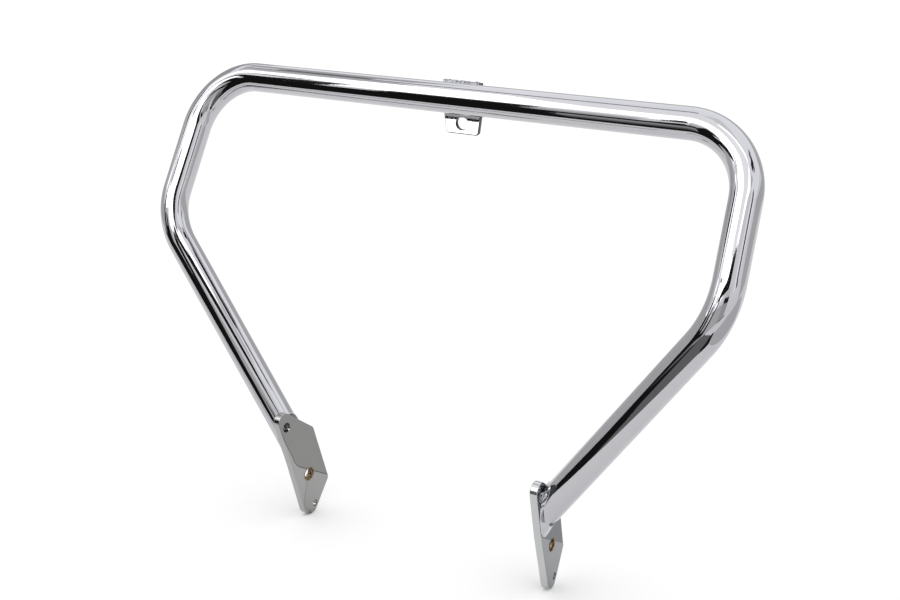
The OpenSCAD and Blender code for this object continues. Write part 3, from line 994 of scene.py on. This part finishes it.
def make_front_wall():
    """Points are x, z."""
    panels(lambda x, z: (x, -ROOM, z), (
        ("wall_far", [(-ROOM, LOW), (-ROOM, 1.25), (-2.15, 1.25), (-2.07, 0.60), (-2.07, LOW)], BLACK),
        ("wall_far_haze", [(-ROOM, 1.25), (-ROOM, 1.75), (-2.3, 1.75), (-2.15, 1.25)], 0.2),
        ("wall_left", [(-1.84, LOW), (-1.84, 0.58), (-1.27, 0.66), (-1.27, LOW)], BLACK),
        ("wall_low", [(-2.07, LOW), (-2.07, 0.2), (-1.84, 0.2), (-1.84, LOW)], BLACK),
        ("wall_left_haze", [(-1.84, 0.58), (-1.84, 0.82), (-1.27, 0.90), (-1.27, 0.66)], 0.2),
        ("wall_foot", [(-1.27, LOW), (-1.27, -0.08), (-0.88, -0.08), (-0.75, LOW)], BLACK),
        ("wall_slope", [(-0.75, LOW), (-0.88, -0.08), (-0.60, 0.42), (-0.2, 0.80), (0.02, 0.88),
                        (0.0, 0.76), (-0.1, 0.62), (-0.28, 0.38), (-0.42, -0.05), (-0.5, LOW)], BLACK),
        ("wall_grey", [(-0.5, LOW), (-0.42, -0.05), (-0.28, 0.38), (-0.19, 0.5), (1.1, 0.5),
                       (1.1, LOW)], 0.68),
        ("wall_light", [(-0.19, 0.5), (-0.1, 0.62), (-0.04, 0.70), (0.7, 0.70), (0.7, 0.95),
                        (1.1, 1.0), (1.1, 0.5)], 1.1),
        ("wall_right", [(1.1, 0.75), (1.1, 1.0), (1.4, 1.05), (1.9, 1.28), (ROOM, 1.50),
                        (ROOM, 0.75)], 0.9),
        ("wall_patch", [(1.1, 0.5), (1.1, 0.75), (ROOM, 0.75), (ROOM, 0.4)], BLACK),
        ("wall_corner", [(1.1, LOW), (1.1, 0.5), (ROOM, 0.4), (ROOM, LOW)], 0.55),
        ("post", [(-0.86, 0.45), (-0.86, 1.0), (-0.72, 1.0), (-0.72, 0.45)], BLACK),
        ("rail", [(-2.1, 1.78), (-1.35, 1.68), (-1.35, 1.50), (-2.1, 1.60)], 0.4),
        ("front_top", [(0.1, 1.78), (1.2, 1.86), (1.2, TOP), (0.1, TOP)], 1.5),
        ("haze_high", [(-1.27, 0.75), (-1.27, 1.05), (-0.9, 1.05), (-0.9, 0.75)], 1.5),
        ("haze_mid", [(-1.27, 0.35), (-1.27, 0.75), (-0.9, 0.75), (-0.9, 0.35)], 1.0),
        ("haze_low", [(-1.27, -0.08), (-1.27, 0.35), (-0.9, 0.35), (-0.9, -0.08)], 0.65),
    ))


def make_side_walls():
    """Points are y, z, on the rider's right and then on the rider's left."""
    panels(lambda y, z: (-ROOM, y, z), (
        ("side_dark", [(-ROOM, LOW), (-ROOM, 1.25), (-2.2, 1.1), (-2.0, 0.62), (-1.9, LOW)], BLACK),
        ("side_grey", [(-1.88, LOW), (-1.96, 0.62), (0.4, 0.45), (ROOM, 0.40), (ROOM, LOW)], 0.66),
        ("side_rail", [(-2.4, 1.74), (-2.4, TOP), (-1.9, TOP), (-1.9, 1.74)], 0.3),
        ("side_front", [(-1.97, 0.66), (-2.16, 1.15), (-ROOM, 1.3), (-ROOM, 1.72), (-1.6, 1.72),
                        (-1.6, 0.64)], 1.25),
        ("side_stand", [(-1.4, 1.0), (-1.35, 1.45), (-0.75, 1.38), (-0.75, 0.86)], BLACK),
        ("side_low", [(-1.6, 0.62), (-1.6, 0.85), (-0.6, 0.85), (-0.6, 0.55)], 0.95),
        ("side_mid", [(-0.6, 0.55), (-0.6, 1.8), (-0.2, 1.8), (-0.2, 0.52)], 0.75),
        ("side_rear", [(-0.2, 0.52), (-0.2, 1.8), (ROOM, 1.8), (ROOM, 0.42), (0.4, 0.47)], 0.52),
    ))
    panels(lambda y, z: (ROOM, y, z), (
        ("lamp_foot", [(-0.9, 0.45), (-0.6, 0.45), (-0.62, 1.5), (-0.95, 1.5)], 0.1),
        ("far_grey", [(0.25, LOW), (0.25, 0.55), (ROOM, 0.7), (ROOM, LOW)], 0.7),
    ))


def make_ceiling():
    """Rectangles are from x to x and from y to y. The gap's dark core hangs just under the rest."""
    panels(lambda x, y: (x, y, TOP), (
        ("gap_wide", rectangle(-2.3, -0.3, -0.12, 0.14), 0.6),
        ("gap_soft", rectangle(-2.4, -1.4, -0.70, -0.12), 0.8),
        ("gap_far", rectangle(-2.4, -1.4, 0.45, 1.40), 0.65),
        ("gap_right", rectangle(1.72, 2.14, -0.42, 0.48), 0.03),
        ("gap_right_end", rectangle(2.14, ROOM, -0.1, 0.4), 0.3),
        ("gap_mid", rectangle(1.5, 1.72, 0.0, 0.7), 0.3),
        ("gap_lamp", rectangle(1.88, 2.3, -1.45, -0.75), 0.8),
        ("lamp_soft", rectangle(-1.1, 0.0, -1.7, -0.3), 1.4),
        ("lamp_strip", rectangle(0.0, 1.3, -ROOM, -0.8), 1.5),
        ("gap_left", rectangle(-1.85, -1.5, 0.16, 0.45), 0.15),
    ))
    panels(lambda x, y: (x, y, UNDER_TOP), (
        ("gap_core", rectangle(-1.5, -0.3, -0.04, 0.06), 0.25),
        ("gap_core_left", rectangle(-2.3, -1.5, -0.04, 0.06), 0.08),
    ))


# Two things nearer than the walls: a dark figure behind the camera, and a dark table further
# off, which the bar mirrors but the legs don't, since their rays pass below it.
FIGURE_Y, SHELF_Z = -1.3, -0.25


def make_near_things():
    panels(lambda x, z: (x, FIGURE_Y, z), (
        ("figure", [(-0.15, 0.38), (0.0, 0.51), (0.15, 0.59), (0.34, 0.69), (0.5, 0.84), (0.6, 0.90),
                    (0.8, 0.94), (0.97, 0.97), (1.1, 0.98), (1.0, 0.70), (0.95, 0.55), (0.8, 0.50),
                    (0.53, 0.44), (0.34, 0.41), (0.07, 0.35), (-0.1, 0.31)], BLACK),
    ))
    panels(lambda x, y: (x, y, SHELF_Z), (
        ("shelf_near", [(-0.12, -0.47), (-0.21, -0.62), (0.07, -0.62), (0.08, -0.47)], 0.13),
        ("shelf_mid", [(-0.21, -0.62), (-0.30, -0.80), (0.06, -0.80), (0.07, -0.62)], 0.28),
        ("shelf_far", [(-0.30, -0.80), (-0.60, -1.4), (-0.1, -1.4), (0.06, -0.80)], 0.43),
    ))


def make_backdrop():
    panels(lambda x, z: (x, ROOM, z), (
        ("backdrop_grey", [(-ROOM, LOW), (ROOM, LOW), (ROOM, 1.6), (-ROOM, 1.6)], 0.7),
    ))


# The camera, fitted to the photograph. It is turned from the front and looks down.
CAMERA_AT = (0.7423, -1.184305, 0.25845)
CAMERA_TURN, CAMERA_DOWN = math.radians(32.644), math.radians(17.903)
CAMERA_LENS, SENSOR_WIDTH = 54.1733, 36
CLIP_NEAR, CLIP_FAR = 0.05, 100


def make_camera():
    data = bpy.data.cameras.new("camera")
    data.sensor_width = SENSOR_WIDTH
    data.sensor_fit = "HORIZONTAL"
    data.lens = CAMERA_LENS
    data.clip_start = CLIP_NEAR
    data.clip_end = CLIP_FAR
    camera = link("camera", data)
    bpy.context.scene.camera = camera
    level = math.cos(CAMERA_DOWN)
    right = Vector((math.cos(CAMERA_TURN), math.sin(CAMERA_TURN), 0))
    back = Vector((math.sin(CAMERA_TURN) * level, -math.cos(CAMERA_TURN) * level, math.sin(CAMERA_DOWN)))
    turn = Matrix((right, back.cross(right), back)).transposed()
    camera.matrix_world = Matrix.Translation(CAMERA_AT) @ turn.to_4x4()


make_floor()
make_world()
make_cards()
make_ground()
make_front_wall()
make_side_walls()
make_ceiling()
make_near_things()
make_backdrop()
make_camera()

bpy.context.scene.view_settings.view_transform = "Standard"
